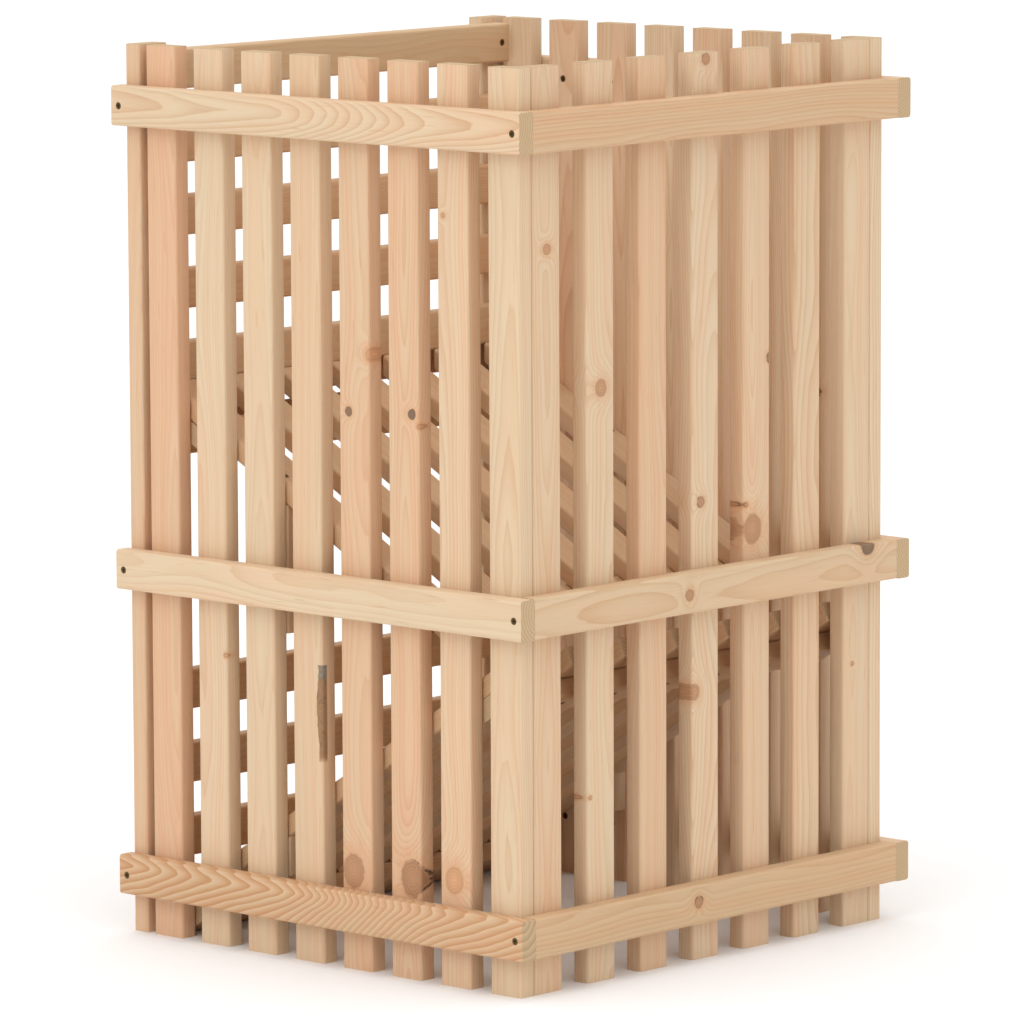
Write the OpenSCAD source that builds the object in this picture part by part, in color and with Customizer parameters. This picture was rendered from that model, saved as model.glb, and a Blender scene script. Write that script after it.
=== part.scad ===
// Slatted pine bin with two inner ramps, filled from the open top and emptied through the front opening.
// Front wall at -Y, back wall at +Y, side walls at +X and -X, standing on Z = 0.

/* [Timber stock] */
// Width of every slat, rail, board and batten
stock_w = 45; // [36:1:54]
// Thickness of every slat, rail, board and batten
stock_t = 22; // [18:1:27]
// Radius along the long edges of the stock
edge_r = 3.5; // [2:0.5:5]

/* [Bin] */
// Width over the outer faces of the side slats
bin_w = 610; // [500:5:740]
// Depth over the edges of the side slats
bin_d = 570; // [470:5:690]
// Height of the slats and posts
bin_h = 1005; // [900:5:1210]

/* [Walls] */
// Slats in each side wall
side_slats = 8; // [6:1:8]
// Distance of the first side slat behind the posts
slat_setback = 10.5; // [6:0.5:14]
// Slats in the back wall, and in each ramp
back_slats = 7; // [5:1:7]
// Height of the bottom rails above the floor
bottom_rail_z = 45; // [35:1:60]
// Height of the middle rails above the floor
mid_rail_z = 393; // [340:1:460]
// Distance of the top rails below the top
top_rail_drop = 45; // [35:1:60]

/* [Front boards] */
// Distance of the highest front board below the top
top_board_drop = 6; // [0:1:12]
// Step from one front board to the next above the hand opening
upper_board_step = 82.3; // [75:0.1:90]
// Step from one front board to the next below the hand opening
lower_board_step = 84; // [75:0.5:90]
// Boards above the hand opening
upper_boards = 6; // [4:1:6]
// Boards below the hand opening
lower_boards = 4; // [3:1:4]

// Lap of the front rail on the second lowest board above the hand opening
front_rail_lap = 14; // [12:1:20]

/* [Ramps] */
// Fall of the upper ramp towards the back, in degrees
upper_fall = 28.9; // [22:0.1:32]
// Height of the upper ramp's underside where it meets the front boards
upper_ramp_z = 601.5; // [560:0.5:650]
// Open space between the end of the upper ramp and the back wall
drop_gap = 88; // [75:1:110]
// Fall of the lower ramp towards the front, in degrees
lower_fall = 32.2; // [27:0.1:34]
// Length of the ramp slats past the batten at a free end
batten_inset = 33; // [25:1:45]
// Which side slat, counted from the front, carries the support blocks
block_slat = 3; // [3:1:4]
// Length of the upper support blocks on their back edge
upper_block_len = 143; // [120:1:190]
// Length of the lower support blocks on their back edge
lower_block_len = 45; // [36:1:50]

/* [Screws] */
// Diameter of the screw shanks
screw_d = 4; // [3:0.5:5]
// Diameter of the countersunk heads
head_d = 8; // [7:0.5:10]
// Depth of the countersunk heads
head_h = 2.8; // [2:0.1:4]
// Depth of the heads below the wood
head_sink = 0.4; // [0.3:0.1:1]
// Bite of a screw in the second piece of wood
screw_bite = 15; // [12:1:17]
// Bite of a rail end screw in end grain
end_bite = 28; // [20:1:34]

/* [Fits] */
// Gap between the ramps and the walls that they lie between
ramp_play = 1; // [0.5:0.1:2]
// Gap between a ramp and the blocks that carry it
seat_gap = 0.2; // [0.1:0.05:0.3]
// Gap around a screw in its hole
hole_play = 0.1; // [0.05:0.05:0.2]

/* [Hidden] */
$fn = 32;
overcut = 1;
pine = "burlywood";
steel = "dimgray";
half_w = bin_w / 2;
half_d = bin_d / 2;
inner_x = half_w - stock_t;
inner_y = half_d - stock_t;
side_step = (bin_d - slat_setback - stock_w) / (side_slats - 1);
back_step = (2 * inner_x - stock_w) / (back_slats - 1);
ramp_x = inner_x - ramp_play;
ramp_step = (2 * ramp_x - stock_w) / (back_slats - 1);
ramp_front = -inner_y + ramp_play;
ramp_span = 2 * (inner_y - ramp_play);
rail_len = bin_d + 2 * stock_t;
rail_z = [bottom_rail_z, mid_rail_z, bin_h - top_rail_drop - stock_w];
lower_ramp_z = stock_t * cos(lower_fall);
upper_start = stock_t * tan(upper_fall);
lower_start = stock_t * tan(lower_fall);
upper_len = (ramp_span - drop_gap + ramp_play - stock_t * sin(upper_fall)) / cos(upper_fall);
lower_len = ramp_span / cos(lower_fall);
upper_battens = [batten_inset, upper_len - batten_inset - stock_w];
lower_battens = [0, lower_len - batten_inset - stock_w];
upper_fix = [for (b = upper_battens) b + stock_w / 2];
lower_fix = [(lower_start + stock_w) / 2, lower_battens[1] + stock_w / 2];
block_y = side_y(block_slat);
block_x = inner_x - stock_t / 2;
block_back = block_y + stock_w / 2 - ramp_front;
upper_block_z = upper_ramp_z - block_back * tan(upper_fall) - upper_block_len;
lower_block_z = lower_ramp_z + block_back * tan(lower_fall) - lower_block_len;
block_mid = block_y - ramp_front;
block_fix_y = block_y - stock_w / 4;
block_fix = block_fix_y - ramp_front;
upper_block_mid = (upper_block_z + upper_ramp_z - block_fix * tan(upper_fall)) / 2;
lower_block_mid = (lower_block_z + lower_ramp_z + block_fix * tan(lower_fall)) / 2;
upper_block_fix = [upper_block_mid - stock_w, upper_block_mid + stock_w / 2];
lower_block_fix = [lower_block_mid];
post_x = half_w - stock_w / 2;
board_fix_x = inner_x - (stock_w - stock_t) / 2;

// Centre of side slat i along Y, and of back and ramp slats along X
function side_y(i) = -half_d + slat_setback + stock_w / 2 + (i - 1) * side_step;
function back_x(i) = -inner_x + stock_w / 2 + (i - 1) * back_step;
function ramp_slat_x(i) = -ramp_x + stock_w / 2 + (i - 1) * ramp_step;
// Lower edge of a front board, counted up from the floor or down from the top
function lower_z(i) = (i - 1) * lower_board_step;
function upper_z(i) = bin_h - top_board_drop - stock_w - (i - 1) * upper_board_step;

function front_rail_z() = upper_z(upper_boards - 1) + front_rail_lap - stock_w;

// Section of the stock, a wide and b thick, with rounded corners
module section(a, b) {
  square([a - 2 * edge_r, b], center = true);
  square([a, b - 2 * edge_r], center = true);
  for (x = [-1, 1], y = [-1, 1])
    translate([x * (a / 2 - edge_r), y * (b / 2 - edge_r)]) circle(edge_r);
}

// Length of stock standing on Z = 0
module upright(len, a, b) {
  linear_extrude(len) section(a, b);
}

// Length of stock along X, centred, with its height along Z
module crosswise(len, tall, deep) {
  translate([-len / 2, 0, 0]) rotate([90, 0, 90]) linear_extrude(len) section(deep, tall);
}

// Screw with its head at Z = 0, driven down along -Z
module screw(len, play = 0) {
  translate([0, 0, -head_h - head_sink])
    cylinder(h = head_h, d1 = screw_d + 2 * play, d2 = head_d + 2 * play);
  translate([0, 0, -len - play]) cylinder(h = len - head_h / 2, d = screw_d + 2 * play);
}

// Hole for that screw, open at the surface
module screw_hole(len) {
  screw(len, hole_play);
  translate([0, 0, -head_sink - hole_play]) cylinder(h = head_sink + overcut, d = head_d + 2 * hole_play);
}

// Turns a screw that is driven along -Z to be driven along an axis
module drive_x(side) { rotate([0, side * 90, 0]) children(); }
module drive_y(side) { rotate([-side * 90, 0, 0]) children(); }

// Places of the screws; the children are one screw or one hole
module at_rail_ends(side) {
  for (z = rail_z, y = [-1, 1])
    translate([side * (half_w + stock_t), y * (half_d + stock_t / 2), z + stock_w / 2])
      drive_x(side) children();
}
module at_side_slat(side, i) {
  for (z = rail_z) translate([side * inner_x, side_y(i), z + stock_w / 2]) drive_x(-side) children();
}
module at_back_slat(i) {
  for (z = rail_z) translate([back_x(i), inner_y, z + stock_w / 2]) drive_y(-1) children();
}
module at_board(z) {
  for (side = [-1, 1])
    translate([side * board_fix_x, -inner_y, z + stock_w / 2]) drive_y(1) children();
}
module at_front_rail() {
  for (side = [-1, 1])
    translate([side * inner_x / 2, -inner_y, upper_z(upper_boards - 1) + front_rail_lap / 2])
      drive_y(1) children();
}
module at_block_slat(side) {
  for (z = concat(upper_block_fix, lower_block_fix))
    translate([side * (inner_x - stock_t), block_fix_y, z]) drive_x(-side) children();
}
module at_ramp(fixings) {
  for (y = fixings, i = [1:back_slats])
    translate([ramp_slat_x(i), y, -stock_t]) rotate([180, 0, 0]) children();
}
module at_block_top(fall) {
  for (side = [-1, 1]) translate([side * block_x, block_mid / cos(fall), stock_t]) children();
}

// Frames of the two ramps: Y runs along the slope, and Z = 0 is the underside of the slats
module on_upper_ramp() { translate([0, ramp_front, upper_ramp_z]) rotate([-upper_fall, 0, 0]) children(); }
module on_lower_ramp() { translate([0, ramp_front, lower_ramp_z]) rotate([lower_fall, 0, 0]) children(); }

slat_screw_len = stock_t + screw_bite;
end_screw_len = stock_t + end_bite;

module side_slat(side, i) {
  color(pine) difference() {
    translate([side * (half_w - stock_t / 2), side_y(i), 0]) upright(bin_h, stock_t, stock_w);
    at_side_slat(side, i) screw_hole(slat_screw_len);
    if (i == block_slat) at_block_slat(side) screw_hole(slat_screw_len);
  }
}

module back_slat(i) {
  color(pine) difference() {
    translate([back_x(i), half_d - stock_t / 2, 0]) upright(bin_h, stock_w, stock_t);
    at_back_slat(i) screw_hole(slat_screw_len);
  }
}

module side_rail(side, z) {
  color(pine) difference() {
    translate([side * (half_w + stock_t / 2), rail_len / 2, z + stock_w / 2])
      rotate([90, 0, 0]) linear_extrude(rail_len) section(stock_t, stock_w);
    at_rail_ends(side) screw_hole(end_screw_len);
    for (i = [1:side_slats]) at_side_slat(side, i) screw_hole(slat_screw_len);
  }
}

module back_rail(z) {
  color(pine) difference() {
    translate([0, half_d + stock_t / 2, z + stock_w / 2]) crosswise(bin_w, stock_w, stock_t);
    for (side = [-1, 1]) at_rail_ends(side) screw_hole(end_screw_len);
    for (i = [1:back_slats]) at_back_slat(i) screw_hole(slat_screw_len);
  }
}

module post(side) {
  color(pine) difference() {
    translate([side * post_x, -half_d - stock_t / 2, 0]) upright(bin_h, stock_w, stock_t);
    at_rail_ends(side) screw_hole(end_screw_len);
    for (i = [1:upper_boards]) at_board(upper_z(i)) screw_hole(slat_screw_len);
    for (i = [1:lower_boards]) at_board(lower_z(i)) screw_hole(slat_screw_len);
  }
}

module board(z) {
  color(pine) difference() {
    translate([0, -half_d + stock_t / 2, z + stock_w / 2]) crosswise(2 * inner_x, stock_w, stock_t);
    at_board(z) screw_hole(slat_screw_len);
    at_front_rail() screw_hole(slat_screw_len);
  }
}

module front_rail() {
  color(pine) difference() {
    translate([0, -half_d - stock_t / 2, front_rail_z() + stock_w / 2])
      crosswise(bin_w - 2 * stock_w, stock_w, stock_t);
    at_front_rail() screw_hole(slat_screw_len);
  }
}

module ramp_slats(start, len, fixings, fall) {
  difference() {
    for (i = [1:back_slats])
      translate([ramp_slat_x(i), len, stock_t / 2])
        rotate([90, 0, 0]) linear_extrude(len - start) section(stock_w, stock_t);
    at_ramp(fixings) screw_hole(slat_screw_len);
    at_block_top(fall) screw_hole(slat_screw_len);
  }
}

module ramp_battens(places, fixings) {
  difference() {
    for (y = places)
      translate([0, y + stock_w / 2, -stock_t / 2]) crosswise(2 * ramp_x, stock_t, stock_w);
    at_ramp(fixings) screw_hole(slat_screw_len);
  }
}

// Everything ahead of the front ends of the ramps
module ahead_of_ramps() {
  translate([-bin_w, ramp_front - bin_d, 0]) cube([2 * bin_w, bin_d, bin_h]);
}

module upper_ramp_slats() {
  color(pine) difference() {
    on_upper_ramp() ramp_slats(-upper_start, upper_len, upper_fix, upper_fall);
    ahead_of_ramps();
  }
}

module lower_ramp_slats() {
  color(pine) on_lower_ramp() ramp_slats(lower_start, lower_len, lower_fix, lower_fall);
}

module upper_ramp_battens() {
  color(pine) on_upper_ramp() ramp_battens(upper_battens, upper_fix);
}

module lower_ramp_battens() {
  color(pine) on_lower_ramp() ramp_battens(lower_battens, lower_fix);
}

// Everything above the underside of a ramp, less the seat gap
module above_ramp() {
  translate([-bin_w, -bin_d, -seat_gap]) cube([2 * bin_w, 3 * bin_d, bin_h]);
}

module block_stock(side, z, len) {
  translate([side * block_x, block_y, z]) upright(len, stock_t, stock_w);
}

module support_blocks() {
  color(pine) for (side = [-1, 1]) {
    difference() {
      block_stock(side, upper_block_z, upper_block_len + stock_w);
      on_upper_ramp() above_ramp();
      on_upper_ramp() at_block_top(upper_fall) screw_hole(slat_screw_len);
      at_block_slat(side) screw_hole(slat_screw_len);
    }
    difference() {
      block_stock(side, lower_block_z, lower_block_len);
      on_lower_ramp() above_ramp();
      on_lower_ramp() at_block_top(lower_fall) screw_hole(slat_screw_len);
      at_block_slat(side) screw_hole(slat_screw_len);
    }
  }
}

module rail_end_screws() {
  color(steel) for (side = [-1, 1]) at_rail_ends(side) screw(end_screw_len);
}

module side_slat_screws() {
  color(steel) for (side = [-1, 1], i = [1:side_slats]) at_side_slat(side, i) screw(slat_screw_len);
}

module back_slat_screws() {
  color(steel) for (i = [1:back_slats]) at_back_slat(i) screw(slat_screw_len);
}

module board_screws() {
  color(steel) {
    for (i = [1:upper_boards]) at_board(upper_z(i)) screw(slat_screw_len);
    for (i = [1:lower_boards]) at_board(lower_z(i)) screw(slat_screw_len);
    at_front_rail() screw(slat_screw_len);
  }
}

module ramp_screws() {
  color(steel) {
    on_upper_ramp() at_ramp(upper_fix) screw(slat_screw_len);
    on_lower_ramp() at_ramp(lower_fix) screw(slat_screw_len);
    on_upper_ramp() at_block_top(upper_fall) screw(slat_screw_len);
    on_lower_ramp() at_block_top(lower_fall) screw(slat_screw_len);
  }
}

module block_screws() {
  color(steel) for (side = [-1, 1]) at_block_slat(side) screw(slat_screw_len);
}

for (i = [1:side_slats]) {
  side_slat(1, i);
  side_slat(-1, i);
}
for (i = [1:back_slats])
  back_slat(i);
side_rail(1, rail_z[0]);  // right_rail_bottom
side_rail(1, rail_z[1]);  // right_rail_middle
side_rail(1, rail_z[2]);  // right_rail_top
side_rail(-1, rail_z[0]);  // left_rail_bottom
side_rail(-1, rail_z[1]);  // left_rail_middle
side_rail(-1, rail_z[2]);  // left_rail_top
back_rail(rail_z[0]);  // back_rail_bottom
back_rail(rail_z[1]);  // back_rail_middle
back_rail(rail_z[2]);  // back_rail_top
front_rail();  // front_rail_upper
post(1);  // right_post
post(-1);  // left_post
for (i = [1:upper_boards])
  board(upper_z(i));
for (i = [1:lower_boards])
  board(lower_z(i));
upper_ramp_slats();
upper_ramp_battens();
lower_ramp_slats();
lower_ramp_battens();
support_blocks();
rail_end_screws();
side_slat_screws();
back_slat_screws();
board_screws();
ramp_screws();
block_screws();
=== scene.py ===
# Slatted pine bin: planed laths with grain, knots and saw-cut ends, countersunk cross-head screws.
import bmesh
import bpy
import math
import random
from mathutils import Matrix, Vector


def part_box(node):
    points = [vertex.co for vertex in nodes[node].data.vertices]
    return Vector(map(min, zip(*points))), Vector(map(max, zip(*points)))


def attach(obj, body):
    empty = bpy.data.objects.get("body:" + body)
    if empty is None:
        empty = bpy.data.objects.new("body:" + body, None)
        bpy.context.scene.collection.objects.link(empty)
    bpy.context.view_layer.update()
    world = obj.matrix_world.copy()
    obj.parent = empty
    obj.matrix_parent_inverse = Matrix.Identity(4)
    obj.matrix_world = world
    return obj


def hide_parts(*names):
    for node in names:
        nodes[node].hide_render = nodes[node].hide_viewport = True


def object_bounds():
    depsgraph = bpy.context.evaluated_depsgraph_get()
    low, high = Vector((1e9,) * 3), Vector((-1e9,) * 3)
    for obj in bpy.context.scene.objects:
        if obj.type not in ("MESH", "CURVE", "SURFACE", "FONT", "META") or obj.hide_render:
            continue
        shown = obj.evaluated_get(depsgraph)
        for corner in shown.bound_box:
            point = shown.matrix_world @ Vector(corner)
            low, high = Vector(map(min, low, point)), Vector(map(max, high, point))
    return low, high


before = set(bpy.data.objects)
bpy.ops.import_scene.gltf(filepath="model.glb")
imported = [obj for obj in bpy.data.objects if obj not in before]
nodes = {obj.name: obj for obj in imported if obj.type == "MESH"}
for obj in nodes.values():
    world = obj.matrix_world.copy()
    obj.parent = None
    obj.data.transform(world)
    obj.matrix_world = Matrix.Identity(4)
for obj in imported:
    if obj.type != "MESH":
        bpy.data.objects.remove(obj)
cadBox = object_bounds()
print("frame loaded")


def linear(red, green, blue):
    # screen colour, 0 to 255, to the linear colour that shaders use
    def one(c):
        c = c / 255
        return c / 12.92 if c <= 0.04045 else ((c + 0.055) / 1.055) ** 2.4
    return (one(red), one(green), one(blue), 1.0)


def plug(tree, value, socket):
    # a link where there is one, a plain value otherwise
    if isinstance(value, Value):
        tree.links.new(value.socket, socket)
    elif isinstance(value, bpy.types.NodeSocket):
        tree.links.new(value, socket)
    else:
        socket.default_value = value


class Value:
    # wraps a socket, so that node maths reads as sums
    def __init__(self, tree, socket):
        self.tree = tree
        self.socket = socket

    def op(self, name, *others):
        return nodeOf(self.tree, "ShaderNodeMath", {"operation": name}, (self,) + others)

    def __add__(self, other):
        return self.op("ADD", other)

    def __sub__(self, other):
        return self.op("SUBTRACT", other)

    def __mul__(self, other):
        return self.op("MULTIPLY", other)

    def __truediv__(self, other):
        return self.op("DIVIDE", other)

    def __pow__(self, other):
        return self.op("POWER", other)

    def __rsub__(self, other):
        return nodeOf(self.tree, "ShaderNodeMath", {"operation": "SUBTRACT"}, (other, self))

    def __rtruediv__(self, other):
        return nodeOf(self.tree, "ShaderNodeMath", {"operation": "DIVIDE"}, (other, self))

    __radd__ = __add__
    __rmul__ = __mul__


def nodeOf(tree, kind, settings=None, inputs=(), output=0):
    # any node: its settings first, then its sockets by place or by name
    node = tree.nodes.new(kind)
    for name, value in (settings or {}).items():
        if name == "stops":
            ramp = node.color_ramp
            while len(ramp.elements) < len(value):
                ramp.elements.new(1.0)
            for element, (place, colour) in zip(ramp.elements, value):
                element.position = place
                element.color = colour
        else:
            setattr(node, name, value)
    pairs = inputs.items() if isinstance(inputs, dict) else enumerate(inputs)
    for key, value in pairs:
        if value is not None:
            plug(tree, value, node.inputs[key])
    return Value(tree, node.outputs[output])


def steps(tree, value, low, high):
    # 0 below low, 1 above high, smooth between
    return nodeOf(tree, "ShaderNodeMapRange", {"interpolation_type": "SMOOTHSTEP"},
                  {"Value": value, "From Min": low, "From Max": high})


def blendColour(tree, amount, a, b, mode="MIX"):
    # sockets 6 and 7 are the colours of a Mix node in RGBA mode, and output 2 its colour
    return nodeOf(tree, "ShaderNodeMix", {"data_type": "RGBA", "blend_type": mode},
                  {0: amount, 6: a, 7: b}, output=2)


def vectorOf(tree, x, y, z):
    return nodeOf(tree, "ShaderNodeCombineXYZ", None, (x, y, z))


def cloud(tree, vector, scale, detail=2.0, rough=0.5):
    # noise centred on zero
    return nodeOf(tree, "ShaderNodeTexNoise", None,
                  {"Vector": vector, "Scale": scale, "Detail": detail, "Roughness": rough}) - 0.5


def splitXyz(tree, vector):
    node = tree.nodes.new("ShaderNodeSeparateXYZ")
    plug(tree, vector, node.inputs[0])
    return [Value(tree, node.outputs[i]) for i in range(3)]


def attributeXyz(tree, name):
    node = tree.nodes.new("ShaderNodeAttribute")
    node.attribute_name = name
    return splitXyz(tree, node.outputs["Vector"])


pineColours = {
    "cream": linear(221, 198, 166),
    "salmon": linear(221, 178, 143),
    "late": linear(196, 151, 108),
    "lateSalmon": linear(196, 136, 98),
    # the brown that a lath's own tone leans to, also mixed in as painted shade on the boards and ramps
    # inside the bin
    "toastAndShade": linear(184, 140, 90),
    "knotPale": linear(204, 152, 110),
    "knotMid": linear(168, 122, 86),
    "knotDark": linear(84, 68, 54),
    "knotRim": linear(66, 48, 36),
    "bark": linear(150, 112, 78),
    "barkGrey": linear(134, 124, 110),
    "halo": linear(206, 148, 104),
    "end": linear(206, 176, 138),
}
# metres, but lateShare and knotBend are shares, and the rings in a knot come every 6.28 / knotRings metres
pineGrain = {"sway": 0.030, "deepSway": 0.036, "wobble": 0.0022, "lateShare": 0.93, "knotBend": 1.5,
             "knotRings": 2100.0, "rimWidth": 0.0010, "crimp": 0.006, "bump": 0.00025}
# metres: how far the bark strip goes in from the edge, its soft border there, how much that border swells,
# how far its centre line lies off the middle of the lath, and its half width
bark = {"inward": 0.0062, "soft": 0.0016, "swell": 0.0016, "through": 0.009, "halfWidth": 0.0050}


def clamped(tree, value):
    return nodeOf(tree, "ShaderNodeClamp", None, (value,))


def shaded(tree, colour, factor):
    # a colour made lighter or darker by a number
    return blendColour(tree, 1.0, colour, vectorOf(tree, factor, factor, factor), "MULTIPLY")


def addKnots(tree, place, seed, knots, darkness, radius):
    # bends the growth rings round each knot, and gives the masks that colour it
    x, y, z = place
    masks = {"knot": 0.0, "rim": 0.0, "halo": 0.0, "streaks": 0.0, "dark": 0.0, "rings": 1.0}
    rough = cloud(tree, vectorOf(tree, x * 60.0, y * 60.0, z * 60.0 + seed), 2.5, 3.0) * 0.42
    crimp = cloud(tree, vectorOf(tree, x * 150.0, y * 60.0 + seed, z * 110.0), 1.3, 2.0)
    for (kz, kx, kr), deep in zip(knots, darkness):
        du = (z - kz) / (0.86 + kr * 22.0)
        dv = x - kx + y * 0.25
        far = (du * du + dv * dv) ** 0.5 / (kr + 0.00001)
        there = steps(tree, kr, 0.0005, 0.0012)
        bend = (far * far * -0.28).op("EXPONENT")
        halo = (1.0 - steps(tree, far, 0.9, 2.5)) * there
        radius = radius + bend * kr * there * pineGrain["knotBend"] + crimp * pineGrain["crimp"] * halo
        # rays out from the heart: short cracks inside, feathering outside
        rayX, rayZ = dv / (kr * far + 0.0001), du / (kr * far + 0.0001)
        ray = cloud(tree, vectorOf(tree, rayX * 3.4, seed + kz * 9.0, rayZ * 3.4), 1.8, 3.0)
        edge = far + rough * 0.45 + ray * 0.22
        inside = (1.0 - steps(tree, edge, 0.86, 1.04)) * there
        # the dark rim is thin, and strongest on one side
        offEdge = (edge - 0.98).op("ABSOLUTE")
        rimEnd = 0.02 + pineGrain["rimWidth"] / (kr + 0.0002)
        oneSided = steps(tree, rayX, -0.4, 0.7) * 0.8 + 0.2
        rimmed = steps(tree, deep, 0.25, 0.50)
        rim = (1.0 - steps(tree, offEdge, 0.01, rimEnd)) * there * rimmed * oneSided
        crack = steps(tree, ray, 0.17, 0.21) * inside * steps(tree, far, 0.15, 0.4) * deep
        turns = ((far + rough * 0.55) * kr * pineGrain["knotRings"]).op("SINE")
        masks["knot"] = inside + masks["knot"]
        masks["rim"] = rim + crack * 0.8 + masks["rim"]
        masks["halo"] = halo + masks["halo"]
        masks["streaks"] = steps(tree, ray, 0.06, 0.20) * halo * (1.0 - inside) + masks["streaks"]
        masks["dark"] = inside * deep + masks["dark"]
        masks["rings"] = masks["rings"] + turns * inside * 0.08 - (far - 0.5) * inside * 0.18
    return radius, masks


def barkStrip(tree, place, pocket):
    # a strip of bark left on one edge, grey and square at its top, narrowing downwards
    x, y, z = place
    mid, half, across = pocket
    up = (z - mid) / (half + 0.0001)
    ragged = cloud(tree, vectorOf(tree, x * 90.0, y * 90.0, z * 90.0), 1.4, 4.0)
    swell = (up * 3.4 + 0.9).op("SINE") * bark["swell"]
    inward = across - x - swell + ragged * 0.004
    sideways = (y + bark["through"]).op("ABSOLUTE")
    strip = 1.0 - steps(tree, inward, bark["inward"], bark["inward"] + bark["soft"])
    strip = strip * (1.0 - steps(tree, sideways, bark["halfWidth"], bark["halfWidth"] + 0.0014))
    length = (1.0 - steps(tree, up, 0.985, 1.0)) * steps(tree, up + ragged * 0.4, -1.0, -0.8)
    mask = strip * length * steps(tree, half, 0.001, 0.002)
    colour = blendColour(tree, steps(tree, up, 0.70, 0.74), pineColours["bark"], pineColours["barkGrey"])
    colour = shaded(tree, colour, 0.95 + ragged * 1.1 - steps(tree, ragged, 0.06, 0.14) * 0.38)
    return mask, colour


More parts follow.
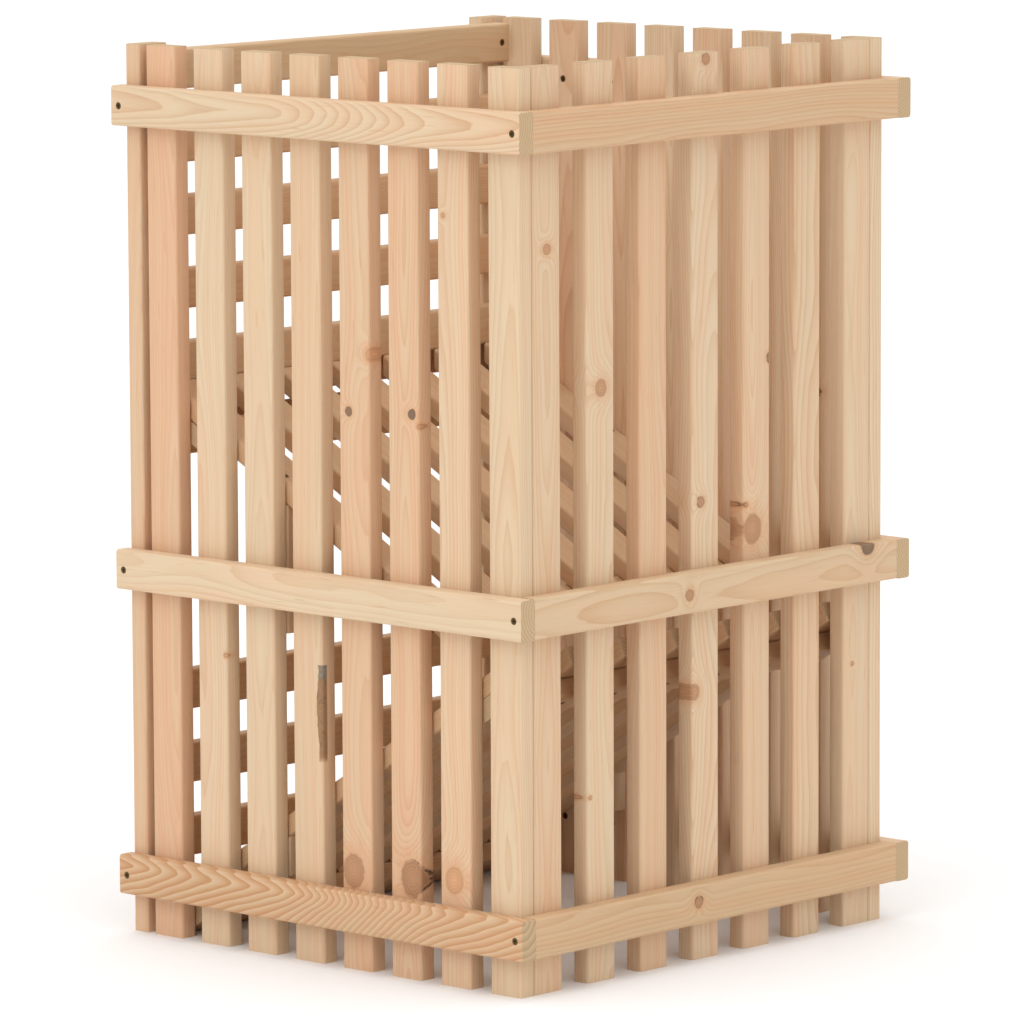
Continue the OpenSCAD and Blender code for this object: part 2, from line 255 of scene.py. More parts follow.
def makePine(name, place, pith, tone, cut, knots):
    # place, pith, tone, cut and knots are attribute names, or lists of three numbers for a plain block
    mat = bpy.data.materials.new(name)
    mat.use_nodes = True
    tree = mat.node_tree
    tree.nodes.clear()
    if place:
        place, pith, tone, cut = [attributeXyz(tree, n) for n in (place, pith, tone, cut)]
        darkness = attributeXyz(tree, "knotTone")
        pocket = attributeXyz(tree, "pocket")
        knots = [attributeXyz(tree, n) for n in knots]
    else:
        place = splitXyz(tree, nodeOf(tree, "ShaderNodeTexCoord", output=3))
        darkness = (0.5, 0.5, 0.5)
        pocket = None
    x, y, z = place
    pithX, pithY, seed = pith
    pink, strength, ringWide = tone
    endGap, toastAndShade, lean = cut
    # the pith wanders along the lath, which makes the flame shapes on a flat-sawn face
    sway = cloud(tree, vectorOf(tree, seed, seed * 1.7, z), 2.1, 1.0) * pineGrain["sway"]
    deepSway = cloud(tree, vectorOf(tree, seed + 7.0, seed, z), 2.6, 1.0) * pineGrain["deepSway"]
    wave = cloud(tree, vectorOf(tree, x * 3.0, seed, z), 13.0, 1.0) * lean * 0.030
    wobble = cloud(tree, vectorOf(tree, x * 9.0 + seed, y * 9.0, z * 1.1), 9.0, 3.0) * pineGrain["wobble"]
    dx = x - pithX + sway
    dy = y - pithY + deepSway
    # a lath cut across the run of the grain carries slanting stripes, closest about its middle
    slant = (z + steps(tree, z, 0.24, 0.50) * 0.30) * lean
    radius = (dx * dx + dy * dy) ** 0.5 + wobble + slant + wave
    radius, masks = addKnots(tree, place, seed, knots, darkness, radius)
    gaps = steps(tree, cloud(tree, vectorOf(tree, x * 80.0, seed, z * 80.0), 1.6, 2.0), -0.12, 0.10)
    rims = masks["rim"] * gaps
    # growth rings: light early wood darkens slowly to late wood, then stops short
    turn = (radius / ringWide).op("FRACT")
    sharp = 2.4 - steps(tree, ringWide, 0.005, 0.008) * 1.2
    late = (turn ** sharp) * (1.0 - steps(tree, turn, pineGrain["lateShare"], 1.0))
    bold = cloud(tree, vectorOf(tree, x * 3.0, seed, z), 3.0, 2.0) * 0.9 + 0.66
    fibre = cloud(tree, vectorOf(tree, x * 260.0 + seed, y * 260.0, z * 5.0), 3.0, 3.0)
    thread = cloud(tree, vectorOf(tree, x * 900.0, y * 900.0, z * 16.0 + seed), 1.6, 2.0)
    patch = cloud(tree, vectorOf(tree, x * 9.0 + seed, y * 9.0, z * 0.8), 3.2, 2.0)
    band = (radius / ringWide * 1.7).op("SINE")
    warm = clamped(tree, pink + patch * 0.9 + band * 0.16)
    early = blendColour(tree, warm, pineColours["cream"], pineColours["salmon"])
    lateWood = blendColour(tree, warm, pineColours["late"], pineColours["lateSalmon"])
    wood = blendColour(tree, clamped(tree, late * bold * strength), early, lateWood)
    # browner by each lath's own tone, and by painted shade where the lath is a board or ramp inside the bin
    wood = blendColour(tree, toastAndShade, wood, pineColours["toastAndShade"])
    # short resin flecks along the fibre
    fleck = cloud(tree, vectorOf(tree, x * 700.0 + seed, y * 700.0, z * 26.0), 1.0, 0.0)
    wood = blendColour(tree, steps(tree, fleck, 0.24, 0.32) * 0.28, wood, pineColours["lateSalmon"])
    # knots
    around = clamped(tree, masks["halo"] * masks["halo"] * 0.36 + masks["streaks"] * 0.34)
    wood = blendColour(tree, around, wood, pineColours["halo"])
    stops = [(0.0, pineColours["knotPale"]), (0.45, pineColours["knotMid"]), (1.0, pineColours["knotDark"])]
    knot = nodeOf(tree, "ShaderNodeValToRGB", {"stops": stops}, (masks["dark"] + fibre * 0.25,))
    wood = blendColour(tree, clamped(tree, masks["knot"] * 0.80), wood, knot)
    wood = blendColour(tree, clamped(tree, rims * 0.9), wood, pineColours["knotRim"])
    hollow = 0.0
    if pocket:
        hollow, barkColour = barkStrip(tree, (x, y, z), pocket)
        wood = blendColour(tree, clamped(tree, hollow * 0.92), wood, barkColour)
    wood = shaded(tree, wood, masks["rings"] + fibre * 0.12 + thread * 0.08 + patch * 0.10)
    # sawn ends: greyer, rings stronger, pores open
    sawn = 1.0 - steps(tree, endGap, 0.00005, 0.0004)
    pores = cloud(tree, vectorOf(tree, x * 1500.0, y * 1500.0, seed), 1.0, 2.0)
    endWood = shaded(tree, pineColours["end"], 0.94 - late * 0.28 + pores * 0.20)
    wood = blendColour(tree, sawn, wood, endWood)
    roughness = 0.60 + fibre * 0.18 + sawn * 0.22 - masks["knot"] * 0.12
    height = late * 0.5 + fibre * 0.7 + thread * 0.5 + pores * sawn * 1.2 - rims * 2.0 - hollow * 3.0
    bump = nodeOf(tree, "ShaderNodeBump", None,
                  {"Strength": 0.35, "Distance": pineGrain["bump"], "Height": height})
    shader = tree.nodes.new("ShaderNodeBsdfPrincipled")
    shader.inputs["Specular IOR Level"].default_value = 0.32
    plug(tree, wood, shader.inputs["Base Color"])
    plug(tree, roughness, shader.inputs["Roughness"])
    plug(tree, bump, shader.inputs["Normal"])
    out = tree.nodes.new("ShaderNodeOutputMaterial")
    tree.links.new(shader.outputs[0], out.inputs[0])
    return mat


pine = makePine("planedPine", "grain", "pith", "tone", "cut", ("knotA", "knotB", "knotC"))
pineBlocks = makePine("planedPineBlocks", None, (0.03, 0.05, 2.3), (0.35, 0.8, 0.0031), (1.0, 0.1, 0.0), ())


def makeZinc():
    mat = bpy.data.materials.new("yellowZinc")
    mat.use_nodes = True
    tree = mat.node_tree
    shader = tree.nodes["Principled BSDF"]
    shader.inputs["Metallic"].default_value = 1.0
    spot = nodeOf(tree, "ShaderNodeTexCoord", output=3)
    tarnish = cloud(tree, spot, 900.0, 3.0) + 0.5
    colour = blendColour(tree, tarnish, linear(126, 104, 66), linear(70, 62, 50))
    plug(tree, colour, shader.inputs["Base Color"])
    plug(tree, tarnish * 0.3 + 0.3, shader.inputs["Roughness"])
    return mat


zinc = makeZinc()
print("materials made")


# metres; step is the distance between the sections of a lath
stock = {"width": 0.045, "thick": 0.022, "edge": 0.0035, "step": 0.016, "bow": 0.0007, "ripple": 0.00018}


def newGeometryTree(name, inputs):
    tree = bpy.data.node_groups.new(name, "GeometryNodeTree")
    tree.is_modifier = True
    for label, kind in inputs:
        tree.interface.new_socket(label, in_out="INPUT", socket_type=kind)
    tree.interface.new_socket("Geometry", in_out="OUTPUT", socket_type="NodeSocketGeometry")
    source = tree.nodes.new("NodeGroupInput")
    return tree, {s.name: s for s in source.outputs if s.name}


def closeTree(tree, geometry, material):
    # every tree ends the same way, because the export drops instances
    real = nodeOf(tree, "GeometryNodeRealizeInstances", None, {"Geometry": geometry})
    painted = nodeOf(tree, "GeometryNodeSetMaterial", None, {"Geometry": real, "Material": material})
    last = tree.nodes.new("NodeGroupOutput")
    plug(tree, painted, last.inputs["Geometry"])


def makePlankTree():
    names = ("Length", "Width", "Thickness", "Edge Radius", "Step", "Bow", "Ripple", "Seed")
    tree, given = newGeometryTree("planedLath", [(name, "NodeSocketFloat") for name in names])
    outline = nodeOf(tree, "GeometryNodeCurvePrimitiveQuadrilateral", {"mode": "RECTANGLE"},
                     {"Width": given["Width"], "Height": given["Thickness"]})
    outline = nodeOf(tree, "GeometryNodeFilletCurve", {"mode": "POLY"},
                     {"Curve": outline, "Count": 4, "Radius": given["Edge Radius"]})
    outline = nodeOf(tree, "GeometryNodeSubdivideCurve", None, {"Curve": outline, "Cuts": 1})
    top = nodeOf(tree, "ShaderNodeCombineXYZ", None, {"Z": given["Length"]})
    core = nodeOf(tree, "GeometryNodeCurvePrimitiveLine", None, {"End": top})
    count = nodeOf(tree, "ShaderNodeMath", {"operation": "DIVIDE"}, (given["Length"], given["Step"]))
    core = nodeOf(tree, "GeometryNodeResampleCurve", None, {"Curve": core, "Count": count + 2.0})
    plank = nodeOf(tree, "GeometryNodeCurveToMesh", None,
                   {"Curve": core, "Profile Curve": outline, "Fill Caps": True})
    # a slow bow and a faint ripple from the planer
    x, y, z = splitXyz(tree, nodeOf(tree, "GeometryNodeInputPosition"))
    seed = Value(tree, given["Seed"])
    bowX = cloud(tree, vectorOf(tree, seed, seed * 3.1, z), 1.3, 0.0) * 2.0
    rippleY = cloud(tree, vectorOf(tree, x * 20.0 + seed, y * 20.0, z * 12.0), 1.0, 1.0)
    rippleX = cloud(tree, vectorOf(tree, x * 20.0, y * 20.0 + seed, z * 14.0), 1.0, 1.0)
    offset = vectorOf(tree, bowX * given["Bow"] + rippleX * given["Ripple"], rippleY * given["Ripple"], 0.0)
    plank = nodeOf(tree, "GeometryNodeSetPosition", None, {"Geometry": plank, "Offset": offset})
    closeTree(tree, plank, pine)
    return tree


def setInputs(modifier, values):
    for item in modifier.node_group.interface.items_tree:
        if item.item_type == "SOCKET" and item.in_out == "INPUT" and item.name in values:
            modifier[item.identifier] = values[item.name]


def finishedMesh(obj, name):
    # the evaluated object as a plain mesh
    bpy.context.view_layer.update()
    mesh = bpy.data.meshes.new_from_object(obj.evaluated_get(bpy.context.evaluated_depsgraph_get()))
    mesh.name = name
    return mesh


def linked(name, mesh):
    obj = bpy.data.objects.new(name, mesh)
    bpy.context.scene.collection.objects.link(obj)
    return obj


plankTree = makePlankTree()


# metres; the seats are the countersunk holes, and seatTop and seatTail are how far their cutter overshoots
screwSizes = {"head": 0.008, "shank": 0.004, "headDepth": 0.0028, "sink": 0.0004, "length": 0.012,
              "point": 0.0015, "crossArm": 0.0046, "crossWide": 0.0011, "crossDeep": 0.0016,
              "seatGap": 0.0002, "seatTop": 0.002, "seatTail": 0.004}
sideSigns = {"right": 1, "left": -1}
railNames = ("bottom", "middle", "top")


def numbered(stem):
    return [stem + str(i) for i in range(1, 20) if stem + str(i) in nodes]


def middle(name):
    lo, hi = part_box(name)
    return (lo + hi) / 2


def collectScrews():
    # node of screws: [(lath under the head, point on its face, way the screw drives)]
    found = {"rail_end_screws": [], "side_slat_screws": [], "back_slat_screws": [], "board_screws": []}
    for hand, sign in sideSigns.items():
        inward = Vector((-sign, 0, 0))
        for level in railNames:
            rail = hand + "_rail_" + level
            lo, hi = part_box(rail)
            face = hi.x if sign > 0 else lo.x
            for y in (lo.y + stock["thick"] / 2, hi.y - stock["thick"] / 2):
                found["rail_end_screws"].append((rail, Vector((face, y, (lo.z + hi.z) / 2)), inward))
            for slat in numbered(hand + "_slat_"):
                lo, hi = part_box(slat)
                face = lo.x if sign > 0 else hi.x
                point = Vector((face, (lo.y + hi.y) / 2, middle(rail).z))
                found["side_slat_screws"].append((slat, point, -inward))
    for level in railNames:
        for slat in numbered("back_slat_"):
            point = Vector((middle(slat).x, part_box(slat)[0].y, middle("back_rail_" + level).z))
            found["back_slat_screws"].append((slat, point, Vector((0, 1, 0))))
    for board in numbered("upper_board_") + numbered("lower_board_"):
        lo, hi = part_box(board)
        for sign in (-1, 1):
            x = sign * (hi.x - (stock["width"] - stock["thick"]) / 2)
            found["board_screws"].append((board, Vector((x, hi.y, (lo.z + hi.z) / 2)), Vector((0, -1, 0))))
    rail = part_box("front_rail_upper")
    behind = next(n for n in numbered("upper_board_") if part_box(n)[0].z < rail[1].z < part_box(n)[1].z)
    lo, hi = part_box(behind)
    for sign in (-1, 1):
        point = Vector((sign * hi.x / 2, hi.y, (lo.z + rail[1].z) / 2))
        found["board_screws"].append((behind, point, Vector((0, -1, 0))))
    return found


def turned(way):
    # matrix whose Z points out of the wood, against the way the screw drives
    return (-way).to_track_quat("Z", "Y").to_matrix().to_4x4()


def seatMesh(places):
    # the countersunk holes of one lath as one cutter, in the lath's own axes
    sides = 20
    verts, faces = [], []
    head = screwSizes["head"] / 2 + screwSizes["seatGap"]
    shank = screwSizes["shank"] / 2 + screwSizes["seatGap"]
    floor = screwSizes["sink"] + screwSizes["headDepth"]
    rings = [(head, screwSizes["seatTop"]), (head, -screwSizes["sink"]),
             (shank, -floor), (shank, -floor - screwSizes["seatTail"])]
    for place in places:
        start = len(verts)
        for radius, height in rings:
            for k in range(sides):
                a = 2 * math.pi * k / sides
                verts.append(place @ Vector((radius * math.cos(a), radius * math.sin(a), height)))
        for r in range(len(rings) - 1):
            for k in range(sides):
                a, b = start + r * sides + k, start + r * sides + (k + 1) % sides
                faces.append((a, a + sides, b + sides, b))
        faces.append([start + k for k in range(sides)])
        faces.append([start + (len(rings) - 1) * sides + k for k in reversed(range(sides))])
    mesh = bpy.data.meshes.new("seats")
    mesh.from_pydata(verts, [], faces)
    return mesh


screws = collectScrews()
print("screws found:", sum(len(v) for v in screws.values()))


# knots: distance from the low end, across from the centre line, radius, and how dark (0 to 1)
knotsOf = {
    "right_slat_5": [(0.619, -0.011, 0.0055, 0.9), (0.683, 0.022, 0.008, 0.1), (0.11, -0.008, 0.0165, 0.36)],
    "right_slat_6": [(0.623, 0.010, 0.0060, 1.0), (0.112, 0.007, 0.0175, 0.50), (0.61, 0.020, 0.0035, 0.2)],
    "right_slat_2": [(0.33, 0.018, 0.0035, 0.2)],
    "right_slat_7": [(0.842, -0.016, 0.0035, 0.2), (0.118, -0.004, 0.0140, 0.02)],
    "back_slat_7": [(0.809, 0.002, 0.0065, 0.25)],
    "back_slat_6": [(0.652, 0.002, 0.0095, 0.3), (0.205, 0.021, 0.0030, 0.2)],
    "back_slat_4": [(0.511, 0.011, 0.0065, 0.45), (0.998, 0.002, 0.0070, 0.4), (0.30, 0.022, 0.009, 0.35)],
    "back_slat_3": [(0.472, 0.010, 0.0150, 0.35), (0.661, -0.020, 0.0065, 0.7), (0.50, 0.021, 0.003, 0.4)],
    "back_slat_1": [(0.30, 0.010, 0.0030, 0.3)],
    "left_slat_2": [(0.52, 0.008, 0.010, 0.4), (0.21, -0.012, 0.006, 0.8)],
    "left_slat_4": [(0.77, -0.006, 0.008, 0.3)],
    "left_slat_5": [(0.36, 0.004, 0.013, 0.2)],
    "left_slat_7": [(0.60, 0.013, 0.007, 0.9), (0.15, 0.0, 0.009, 0.4)],
    "back_rail_middle": [(0.357, -0.004, 0.0070, 0.45), (0.051, 0.018, 0.0110, 0.95)],
    "back_rail_bottom": [(0.342, 0.000, 0.0070, 0.5)],
    "left_rail_middle": [(0.31, 0.004, 0.010, 0.3)],
    "left_rail_top": [(0.44, -0.006, 0.007, 0.6)],
    "upper_board_5": [(0.42, -0.008, 0.008, 0.8)],
    "lower_board_2": [(0.13, 0.004, 0.010, 0.3)],
    "left_post": [(0.74, 0.004, 0.010, 0.3)],
    "right_post": [(0.31, -0.008, 0.007, 0.5)],
}
# how pink a lath is, how bold its rings are and how wide, where it isn't left to chance
toneOf = {
    "right_slat_1": (1.00, 0.45, 0.0030),
    "right_slat_2": (0.20, 0.50, 0.0026),
    "right_slat_3": (0.15, 0.40, 0.0024),
    "right_slat_4": (0.35, 0.50, 0.0028),
    "right_slat_5": (0.62, 0.60, 0.0034),
    "right_slat_6": (0.72, 0.60, 0.0036),
    "right_slat_7": (0.45, 0.60, 0.0030),
    "right_slat_8": (0.10, 0.60, 0.0034),
    "right_rail_top": (0.20, 0.95, 0.0036),
    "right_rail_middle": (0.10, 0.45, 0.0042),
    "right_rail_bottom": (0.42, 1.70, 0.0082),
    "back_rail_top": (0.55, 0.80, 0.0032),
    "back_rail_middle": (0.15, 0.75, 0.0046),
    "back_rail_bottom": (0.20, 0.75, 0.0036),
    "back_slat_7": (0.35, 0.55, 0.0030),
    "back_slat_6": (0.25, 0.55, 0.0030),
    "back_slat_5": (0.60, 0.50, 0.0028),
    "back_slat_4": (0.25, 0.70, 0.0032),
    "back_slat_3": (0.50, 0.55, 0.0030),
    "back_slat_2": (0.30, 0.80, 0.0044),
    "back_slat_1": (0.25, 0.40, 0.0026),
}
# how brown a lath has gone, and how steeply its stripes slant
toastOf = {"back_rail_top": 0.30, "back_rail_middle": 0.22, "back_rail_bottom": 0.42,
           "right_rail_bottom": 0.26}
leanOf = {"right_rail_bottom": 0.30, "right_rail_top": 0.06}
# where the pith runs, across and through a lath
pithOf = {"right_rail_bottom": (0.0165, 0.008), "right_rail_top": (0.004, 0.034),
          "back_rail_top": (-0.030, 0.020)}
# a strip of bark on one edge: the middle and half of its length, and the edge
pocketOf = {"right_slat_4": (0.278, 0.056, 0.0225)}
noKnot = (0.0, 0.0, 0.0, 0.0)
chance = random.Random(21)


def paintFacts(mesh, length, name):
    # what the pine shader reads: the point in the lath, the pith, the tone, the saw cuts and the knots
    count = len(mesh.vertices)
    flat = [0.0] * (count * 3)
    mesh.vertices.foreach_get("co", flat)
    side = chance.choice((-1, 1))
    pith = (chance.uniform(-0.03, 0.03), side * chance.uniform(0.016, 0.06), chance.uniform(0.0, 40.0))
    pith = pithOf.get(name, pith[:2]) + pith[2:]
    tone = (chance.uniform(0.1, 0.75), chance.uniform(0.45, 0.8), chance.uniform(0.0026, 0.0042))
    toastAndShade = chance.uniform(0.0, 0.12)
    # boards and ramps sit inside the bin, in shade: this extra brown is painted shade, not the wood's own
    # colour
    if "board" in name or "ramp" in name:
        toastAndShade += 0.42
    facts = {"grain": flat}
    facts["pith"] = list(pith) * count
    facts["tone"] = list(toneOf.get(name, tone)) * count
    facts["cut"] = []
    for z in flat[2::3]:
        facts["cut"] += [min(z, length - z), toastOf.get(name, toastAndShade), leanOf.get(name, 0.0)]
    knots = (knotsOf.get(name, []) + [noKnot] * 3)[:3]
    facts["pocket"] = list(pocketOf.get(name, (0.0, 0.0, 0.0))) * count
    for label, knot in zip(("knotA", "knotB", "knotC"), knots):
        facts[label] = list(knot[:3]) * count
    facts["knotTone"] = [knot[3] for knot in knots] * count
    for label, values in facts.items():
        mesh.attributes.new(label, "FLOAT_VECTOR", "POINT").data.foreach_set("vector", values)


def planeLath(name, length, place, seats=()):
    # one lath at its place; seats are the screw seats that it needs, in the row frame
    body = linked("lathBlank", bpy.data.meshes.new("lathBlank"))
    shape = body.modifiers.new("plank", "NODES")
    shape.node_group = plankTree
    setInputs(shape, {"Length": length, "Width": stock["width"], "Thickness": stock["thick"],
                      "Edge Radius": stock["edge"], "Step": stock["step"], "Bow": stock["bow"],
                      "Ripple": stock["ripple"], "Seed": chance.uniform(0.0, 50.0)})
    back = place.inverted()
    seats = [back @ Matrix.Translation(point) @ turned(way) for point, way in seats]
    cutter = None
    if seats:
        cutter = linked("seatCutter", seatMesh(seats))
        bore = body.modifiers.new("seats", "BOOLEAN")
        bore.object = cutter
        bore.operation = "DIFFERENCE"
        bore.solver = "EXACT"
    mesh = finishedMesh(body, name)
    bpy.data.objects.remove(body)
    if cutter:
        bpy.data.objects.remove(cutter)
    paintFacts(mesh, length, name)
    mesh.transform(place)
    return mesh


def dress(mesh):
    mesh.materials.clear()
    mesh.materials.append(pine)
    mesh.shade_smooth()
    mesh.set_sharp_from_angle(angle=math.radians(35))


def joinMeshes(meshes, name):
    # all the meshes become one, in the order given
    parts = [linked("part" + str(i), m) for i, m in enumerate(meshes)]
    with bpy.context.temp_override(active_object=parts[0], selected_editable_objects=parts,
                                   selected_objects=parts):
        bpy.ops.object.join()
    mesh = parts[0].data
    bpy.data.objects.remove(parts[0])
    mesh.name = name
    return mesh


def keep(name, mesh, node):
    obj = linked(name, mesh)
    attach(obj, "root")
    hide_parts(node)
    return obj


def placeOf(lo, hi):
    # a lath's own axes in the row frame: X across its width, Y through it, Z along it
    size = hi - lo
    order = sorted(range(3), key=lambda i: size[i])
    thick, wide, long = [Vector([float(k == i) for k in range(3)]) for i in order]
    if wide.cross(thick).dot(long) < 0:
        thick = -thick
    start = (lo + hi) / 2 - long * size[order[2]] / 2
    place = Matrix((wide, thick, long)).transposed().to_4x4()
    place.translation = start
    return place, size[order[2]]


straight = [n for n in sorted(nodes) if "_slat_" in n and not n.endswith("screws")]
straight += [n for n in sorted(nodes) if "_rail_" in n or "_post" in n or "_board_" in n]
straight = [n for n in straight if not n.endswith("screws")]
for node in straight:
    lo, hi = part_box(node)
    place, length = placeOf(lo, hi)
    seats = [(point, way) for group in screws.values() for lath, point, way in group if lath == node]
    mesh = planeLath(node, length, place, seats)
    dress(mesh)
    keep("pine_" + node, mesh, node)
print("laths made:", len(straight))


# metres; how far a batten stays back from a free end
ramps = {"battenInset": 0.033}


def slopeOf(node, plumb):
    # fall angle and underside length from the box: deep = L cos a + t sin a, and
    # tall = L sin a + t cos a with a square front end, or L sin a + t / cos a with a plumb one
    lo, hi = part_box(node)
    deep, tall = hi.y - lo.y, hi.z - lo.z
    low, high = 0.0, math.radians(80)
    for _ in range(60):
        angle = (low + high) / 2
        length = (deep - stock["thick"] * math.sin(angle)) / math.cos(angle)
        front = stock["thick"] / math.cos(angle) if plumb else stock["thick"] * math.cos(angle)
        if length * math.sin(angle) + front < tall:
            low = angle
        else:
            high = angle
    return angle, length


def trimmed(mesh, y):
    # cuts a lath off plumb at its front end, and closes the cut
    cut = bmesh.new()
    cut.from_mesh(mesh)
    parts = cut.verts[:] + cut.edges[:] + cut.faces[:]
    bmesh.ops.bisect_plane(cut, geom=parts, plane_co=(0, y, 0), plane_no=(0, 1, 0), clear_inner=True)
    bmesh.ops.holes_fill(cut, edges=[e for e in cut.edges if e.is_boundary])
    bmesh.ops.recalc_face_normals(cut, faces=cut.faces)
    cut.to_mesh(mesh)
    cut.free()
    return mesh


def makeRamp(prefix, falls):
    # falls is -1 where the ramp drops towards the back, 1 where it rises
    slats, battens = prefix + "_ramp_slats", prefix + "_ramp_battens"
    lo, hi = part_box(slats)
    plumb = falls < 0
    angle, length = slopeOf(slats, plumb)
    thick, wide = stock["thick"], stock["width"]
    along = Vector((0, math.cos(angle), falls * math.sin(angle)))
    up = Vector((0, -falls * math.sin(angle), math.cos(angle)))
    across = Vector((1, 0, 0))
    # first is where the underside meets the front boards, and start is where the laths begin
    lead = thick * math.tan(angle)
    if plumb:
        first = Vector((0, lo.y, hi.z - thick / math.cos(angle)))
        start = first - along * lead
        total = length
    else:
        start = Vector((0, lo.y + thick * math.sin(angle), lo.z))
        first = start - along * lead
        total = length + lead
    count = len(numbered("back_slat_"))
    xs = [lo.x + wide / 2 + i * (hi.x - lo.x - wide) / (count - 1) for i in range(count)]
    battenAt = [ramps["battenInset"] if plumb else 0.0, total - ramps["battenInset"] - wide]
    fixAt = [battenAt[0] + wide / 2 if plumb else (lead + wide) / 2, battenAt[1] + wide / 2]
    blockY = middle("right_slat_3").y
    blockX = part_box("right_slat_3")[0].x - thick / 2
    lowScrews = [first + along * s - up * thick + across * x for s in fixAt for x in xs]
    topScrews = [first + along * ((blockY - first.y) / math.cos(angle)) + up * thick + across * x
                 for x in (-blockX, blockX)]
    screws.setdefault("ramp_screws", [])
    screws["ramp_screws"] += [(battens, point, up) for point in lowScrews]
    screws["ramp_screws"] += [(slats, point, -up) for point in topScrews]
    laths = []
    for x in xs:
        place = Matrix((across, -up, along)).transposed().to_4x4()
        if across.cross(-up).dot(along) < 0:
            place = Matrix((across, up, along)).transposed().to_4x4()
        place.translation = start + across * x + up * thick / 2
        seats = [(p, -up) for p in topScrews if abs(p.x - x) < wide / 2]
        lath = planeLath(slats + str(round(x, 3)), length + lead if plumb else length, place, seats)
        laths.append(trimmed(lath, lo.y) if plumb else lath)
    mesh = joinMeshes(laths, slats)
    dress(mesh)
    keep("pine_" + slats, mesh, slats)
    bars = []
    low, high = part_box(battens)
    for at, fix in zip(battenAt, fixAt):
        place = Matrix((along, up, across)).transposed().to_4x4()
        if along.cross(up).dot(across) < 0:
            place = Matrix((along, -up, across)).transposed().to_4x4()
        place.translation = Vector((low.x, 0, 0)) + first + along * (at + wide / 2) - up * thick / 2
        line = (first + along * fix).y - (up * thick).y
        seats = [(p, up) for p in lowScrews if abs(p.y - line) < 0.001]
        bars.append(planeLath(battens + str(round(at, 3)), high.x - low.x, place, seats))
    mesh = joinMeshes(bars, battens)
    dress(mesh)
    keep("pine_" + battens, mesh, battens)


makeRamp("upper", -1)
makeRamp("lower", 1)
nodes["support_blocks"].data.materials.clear()
nodes["support_blocks"].data.materials.append(pineBlocks)
print("ramps made")


def screwMesh():
    # countersunk head and the top of its shank; makeScrew cuts the cross recess
    sides = 28
    head, shank = screwSizes["head"] / 2, screwSizes["shank"] / 2
    end = -screwSizes["length"]
    rings = [(0.0, 0.0), (head * 0.96, 0.0), (head, -0.00025), (shank, -screwSizes["headDepth"]),
             (shank, end), (0.0, end - screwSizes["point"])]
    verts = [Vector((0, 0, rings[0][1]))]
    for radius, height in rings[1:-1]:
        for k in range(sides):
            a = 2 * math.pi * k / sides
            verts.append(Vector((radius * math.cos(a), radius * math.sin(a), height)))
    verts.append(Vector((0, 0, rings[-1][1])))
    faces = []
    for k in range(sides):
        n = (k + 1) % sides
        faces.append((0, 1 + k, 1 + n))
        for r in range(len(rings) - 3):
            a, b = 1 + r * sides + k, 1 + r * sides + n
            faces.append((a, a + sides, b + sides, b))
        last = 1 + (len(rings) - 3) * sides
        faces.append((last + k, len(verts) - 1, last + n))
    mesh = bpy.data.meshes.new("screwBlank")
    mesh.from_pydata(verts, [], faces)
    return mesh


def crossMesh():
    # two crossed bars that narrow downwards
    verts, faces = [], []
    arm, wide, deep = screwSizes["crossArm"] / 2, screwSizes["crossWide"] / 2, screwSizes["crossDeep"]
    outline = [(arm, -wide), (arm, wide), (wide, wide), (wide, arm), (-wide, arm), (-wide, wide),
               (-arm, wide), (-arm, -wide), (-wide, -wide), (-wide, -arm), (wide, -arm), (wide, -wide)]
    for height, share in ((0.0006, 1.06), (-deep, 0.6)):
        verts += [Vector((x * share, y * share, height)) for x, y in outline]
    n = len(outline)
    faces = [(k, k + n, (k + 1) % n + n, (k + 1) % n) for k in range(n)]
    faces += [list(range(n)), [k + n for k in reversed(range(n))]]
    mesh = bpy.data.meshes.new("crossBlank")
    mesh.from_pydata(verts, [], faces)
    return mesh


def makeScrew():
    blank = linked("screwBlank", screwMesh())
    cross = linked("crossBlank", crossMesh())
    cut = blank.modifiers.new("recess", "BOOLEAN")
    cut.object = cross
    cut.operation = "DIFFERENCE"
    cut.solver = "EXACT"
    mesh = finishedMesh(blank, "screw")
    bpy.data.objects.remove(blank)
    bpy.data.objects.remove(cross)
    return mesh


def makeScrewTree():
    # one screw on every point of the mesh, its axis along the point's "out" and turned by "twist"
    inputs = [("Geometry", "NodeSocketGeometry"), ("Screw", "NodeSocketObject")]
    tree, given = newGeometryTree("countersunkScrews", inputs)
    info = tree.nodes.new("GeometryNodeObjectInfo")
    plug(tree, given["Screw"], info.inputs["Object"])
    out = nodeOf(tree, "GeometryNodeInputNamedAttribute", {"data_type": "FLOAT_VECTOR"}, {"Name": "out"})
    twist = nodeOf(tree, "GeometryNodeInputNamedAttribute", {"data_type": "FLOAT"}, {"Name": "twist"})
    aim = nodeOf(tree, "FunctionNodeAlignRotationToVector", {"axis": "Z"}, {"Vector": out})
    spin = nodeOf(tree, "FunctionNodeAxisAngleToRotation", None, {"Axis": (0, 0, 1), "Angle": twist})
    aim = nodeOf(tree, "FunctionNodeRotateRotation", {"rotation_space": "LOCAL"},
                 {"Rotation": aim, "Rotate By": spin})
    placed = nodeOf(tree, "GeometryNodeInstanceOnPoints", None,
                    {"Points": given["Geometry"], "Instance": info.outputs["Geometry"], "Rotation": aim})
    closeTree(tree, placed, zinc)
    return tree


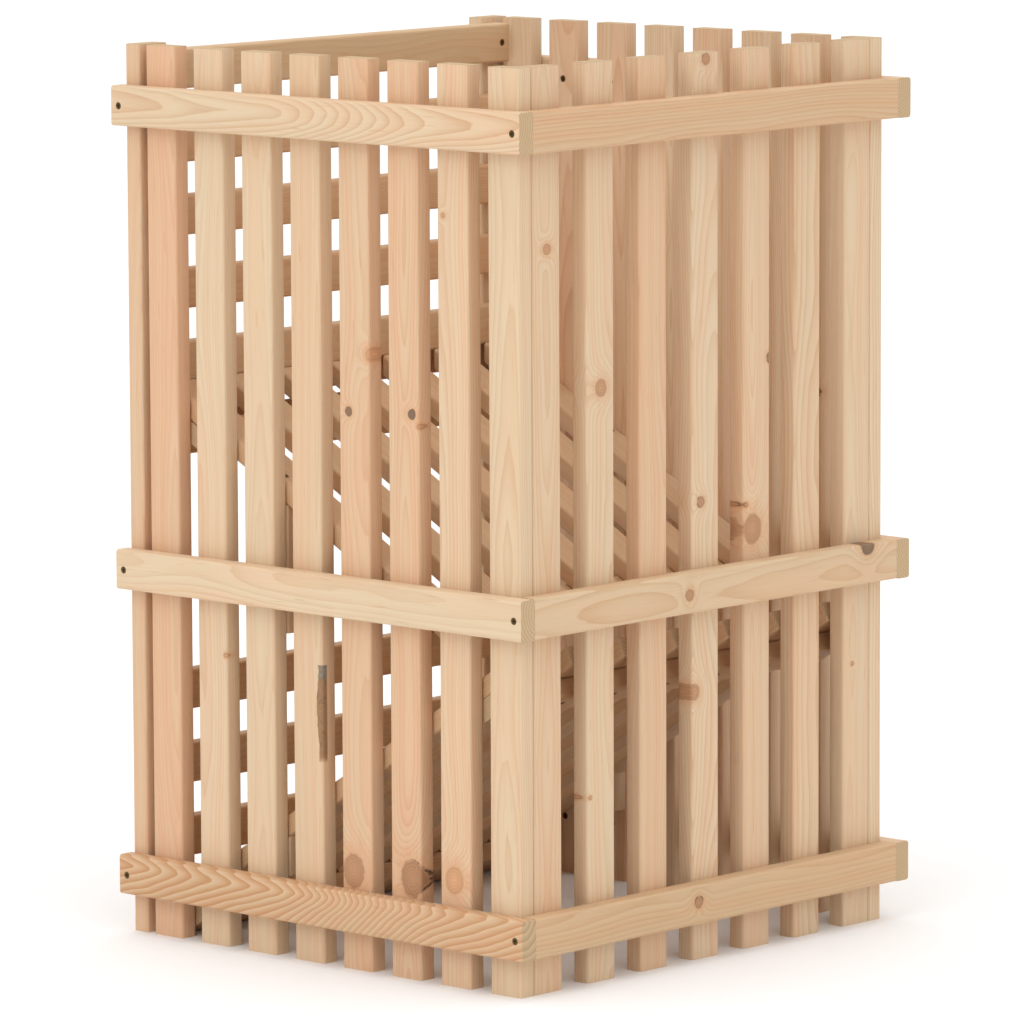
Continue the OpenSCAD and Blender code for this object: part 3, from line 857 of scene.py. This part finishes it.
screwTree = makeScrewTree()
oneScrew = linked("oneScrew", makeScrew())
for group, places in screws.items():
    points = [point + way * screwSizes["sink"] for _, point, way in places]
    mesh = bpy.data.meshes.new(group)
    mesh.from_pydata(points, [], [])
    outs = mesh.attributes.new("out", "FLOAT_VECTOR", "POINT")
    outs.data.foreach_set("vector", [c for _, _, way in places for c in -way])
    twists = mesh.attributes.new("twist", "FLOAT", "POINT")
    twists.data.foreach_set("value", [chance.uniform(0, math.pi / 2) for _ in places])
    holder = linked("screwPoints", mesh)
    stud = holder.modifiers.new("screws", "NODES")
    stud.node_group = screwTree
    setInputs(stud, {"Screw": oneScrew})
    result = finishedMesh(holder, group)
    bpy.data.objects.remove(holder)
    result.shade_smooth()
    result.set_sharp_from_angle(angle=math.radians(30))
    keep("zinc_" + group, result, group)
bpy.data.objects.remove(oneScrew)
nodes["block_screws"].data.materials.clear()
nodes["block_screws"].data.materials.append(zinc)
print("screws made")


floorSizes = {"half": 14.0, "grey": 0.93}


def makeFloor():
    mesh = bpy.data.meshes.new("floor")
    half, grey = floorSizes["half"], floorSizes["grey"]
    corners = [(-half, -half, 0), (half, -half, 0), (half, half, 0), (-half, half, 0)]
    mesh.from_pydata(corners, [], [(0, 1, 2, 3)])
    floor = linked("floor", mesh)
    mat = bpy.data.materials.new("paleFloor")
    mat.use_nodes = True
    shader = mat.node_tree.nodes["Principled BSDF"]
    shader.inputs["Base Color"].default_value = (grey, grey, grey, 1)
    shader.inputs["Roughness"].default_value = 0.9
    shader.inputs["Specular IOR Level"].default_value = 0.1
    mesh.materials.append(mat)


# a lamp is azimuth and elevation in degrees, distance and size in metres, and power in watts
studio = {"zenith": 1.30, "horizon": 0.32, "key": (98, 30, 4.2, 2.2, 28), "fill": (160, 20, 4.5, 3.0, 14)}


def addLight(name, lamp):
    # a square soft box aimed at the middle of the bin
    azimuth, elevation, distance, size, power = lamp
    aim = (cadBox[0] + cadBox[1]) / 2
    a, e = math.radians(azimuth), math.radians(elevation)
    away = Vector((math.sin(a) * math.cos(e), -math.cos(a) * math.cos(e), math.sin(e)))
    data = bpy.data.lights.new(name, "AREA")
    data.shape = "SQUARE"
    data.size = size
    data.energy = power
    obj = linked(name, data)
    obj.location = aim + away * distance
    obj.rotation_euler = (-away).to_track_quat("-Z", "Y").to_euler()


def makeStage():
    # a sky that is brightest overhead lights the bin, and plain white stands behind it
    scene = bpy.context.scene
    world = bpy.data.worlds.new("studio")
    scene.world = world
    world.use_nodes = True
    tree = world.node_tree
    tree.nodes.clear()
    up = splitXyz(tree, nodeOf(tree, "ShaderNodeTexCoord"))[2]
    sky = nodeOf(tree, "ShaderNodeClamp", None, (up, 0.0, 1.0)) * studio["zenith"] + studio["horizon"]
    glow = nodeOf(tree, "ShaderNodeBackground", None, {"Color": (1, 1, 1, 1), "Strength": sky})
    plain = nodeOf(tree, "ShaderNodeBackground", None, {"Color": (1, 1, 1, 1), "Strength": 1.0})
    seen = nodeOf(tree, "ShaderNodeLightPath")
    mix = nodeOf(tree, "ShaderNodeMixShader", None, (seen, glow, plain))
    out = tree.nodes.new("ShaderNodeOutputWorld")
    plug(tree, mix, out.inputs["Surface"])
    scene.view_settings.view_transform = "Standard"
    addLight("keyBox", studio["key"])
    addLight("fillBox", studio["fill"])


# degrees and metres; the lens is in millimetres
cameraSizes = {"azimuth": 132.33, "elevation": 7.64, "roll": -0.233, "distance": 8.267, "lens": 257.9,
               "aim": (0.0019, -0.0016, 0.4845), "shift": -0.0092}


def makeCamera():
    # azimuth and elevation as for the other views, then a small roll
    data = bpy.data.cameras.new("camera")
    data.lens = cameraSizes["lens"]
    data.sensor_width = 36.0
    data.shift_y = cameraSizes["shift"]
    data.clip_end = 100.0
    cam = bpy.data.objects.new("camera", data)
    a, e = math.radians(cameraSizes["azimuth"]), math.radians(cameraSizes["elevation"])
    away = Vector((math.sin(a) * math.cos(e), -math.cos(a) * math.cos(e), math.sin(e)))
    cam.location = Vector(cameraSizes["aim"]) + away * cameraSizes["distance"]
    turn = (-away).to_track_quat("-Z", "Y").to_matrix().to_4x4()
    cam.rotation_euler = (turn @ Matrix.Rotation(math.radians(cameraSizes["roll"]), 4, "Z")).to_euler()
    bpy.context.scene.collection.objects.link(cam)
    bpy.context.scene.camera = cam


makeFloor()
makeStage()
makeCamera()
print("stage made")
